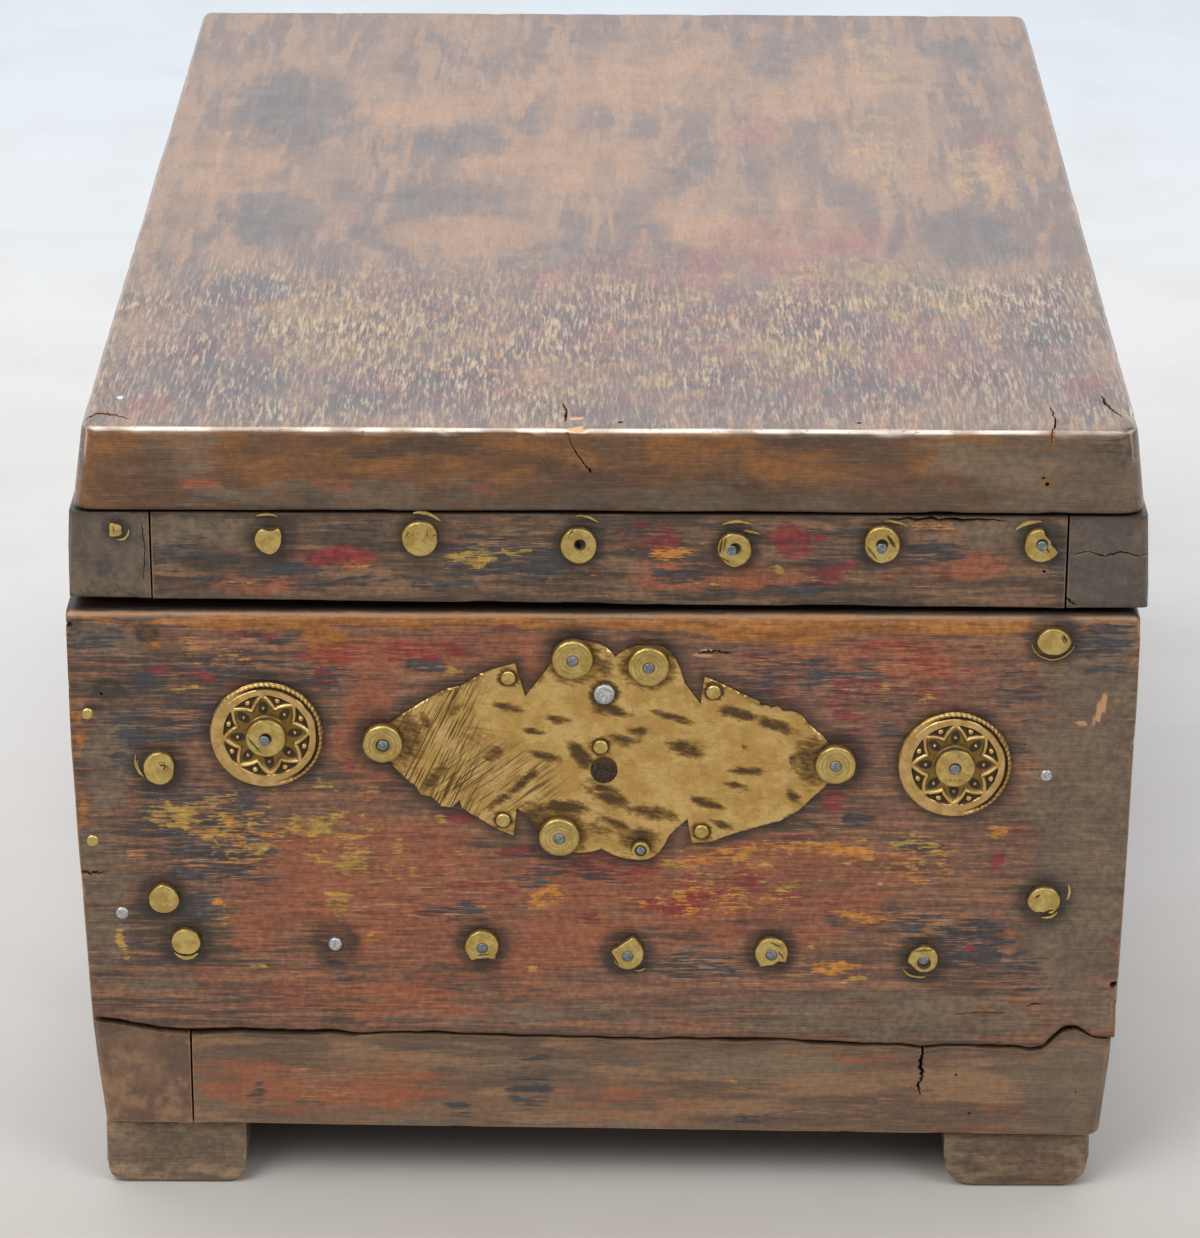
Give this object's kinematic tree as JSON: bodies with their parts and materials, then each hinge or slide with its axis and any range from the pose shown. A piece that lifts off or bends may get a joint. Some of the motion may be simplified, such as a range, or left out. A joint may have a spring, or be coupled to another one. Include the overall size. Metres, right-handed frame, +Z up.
{
  "type": "hinged wooden box with brass fittings",
  "caption": "Old wooden box on block feet with a hinged lid, flat brass studs, two star rosettes and a scalloped brass plate on its front.",
  "frame": {"origin": "middle of the footprint, on the surface that the feet stand on", "axes": "+Z up, -Y towards the front with the brass plate, +X to the right seen from the front"},
  "size_m": [0.2556, 0.383, 0.198],
  "materials": {
    "painted_wood": "worn red-brown paint over old hardwood, satin",
    "lid_wood": "worn and stained old hardwood with traces of paint, satin",
    "base_wood": "smooth dark hardwood, satin",
    "bare_wood": "unpainted aged hardwood, dull",
    "brass": "worn polished brass with dark edges",
    "sheet_brass": "hammered sheet brass, file marks and brown tarnish",
    "iron": "hand-forged iron, dull grey-brown"
  },
  "bodies": {
    "body": {"body_front_board": "painted_wood", "body_back_board": "painted_wood", "body_left_board": "painted_wood", "body_right_board": "painted_wood", "floor_board": "bare_wood", "base_left_rail": "base_wood", "base_right_rail": "base_wood", "base_front_rail": "base_wood", "base_back_rail": "base_wood", "foot_front_left": "base_wood", "foot_front_right": "base_wood", "foot_back_left": "base_wood", "foot_back_right": "base_wood", "lock_plate": "sheet_brass", "plate_stud_left": "brass", "plate_stud_right": "brass", "plate_stud_top_left": "brass", "plate_stud_top_right": "brass", "plate_stud_bottom_left": "brass", "plate_stud_bottom_right": "brass", "plate_pin_top_left": "brass", "plate_pin_top_right": "brass", "plate_pin_bottom_left": "brass", "plate_pin_bottom_right": "brass", "plate_centre_pin": "brass", "plate_nail": "iron", "plate_plug": "iron", "rosette_left": "sheet_brass", "rosette_right": "sheet_brass", "rosette_stud_left": "brass", "rosette_stud_right": "brass", "lower_stud_1": "brass", "lower_nail_2": "iron", "lower_stud_3": "brass", "lower_stud_4": "brass", "lower_stud_5": "brass", "lower_stud_6": "brass", "column_stud_left_upper": "brass", "column_stud_left_lower": "brass", "column_stud_right_upper": "brass", "column_stud_right_lower": "brass", "hinge_body_leaf_left": "iron", "hinge_body_leaf_right": "iron", "hinge_pin_left": "iron", "hinge_pin_right": "iron"},
    "lid": {"lid_top_board": "lid_wood", "lid_front_rail": "lid_wood", "lid_back_rail": "lid_wood", "lid_left_rail": "lid_wood", "lid_right_rail": "lid_wood", "lid_stud_1": "brass", "lid_stud_2": "brass", "lid_stud_3": "brass", "lid_stud_4": "brass", "lid_stud_5": "brass", "lid_stud_6": "brass", "lid_stud_7": "brass", "hinge_lid_leaf_left": "iron", "hinge_lid_leaf_right": "iron"}
  },
  "joints": [
    {"name": "lid_hinge", "type": "hinge", "parent": "body", "child": "lid", "pos_m": [0, 0.1879, 0.15335], "axis": [-1, 0, 0], "range_deg": [0, 180]}
  ]
}
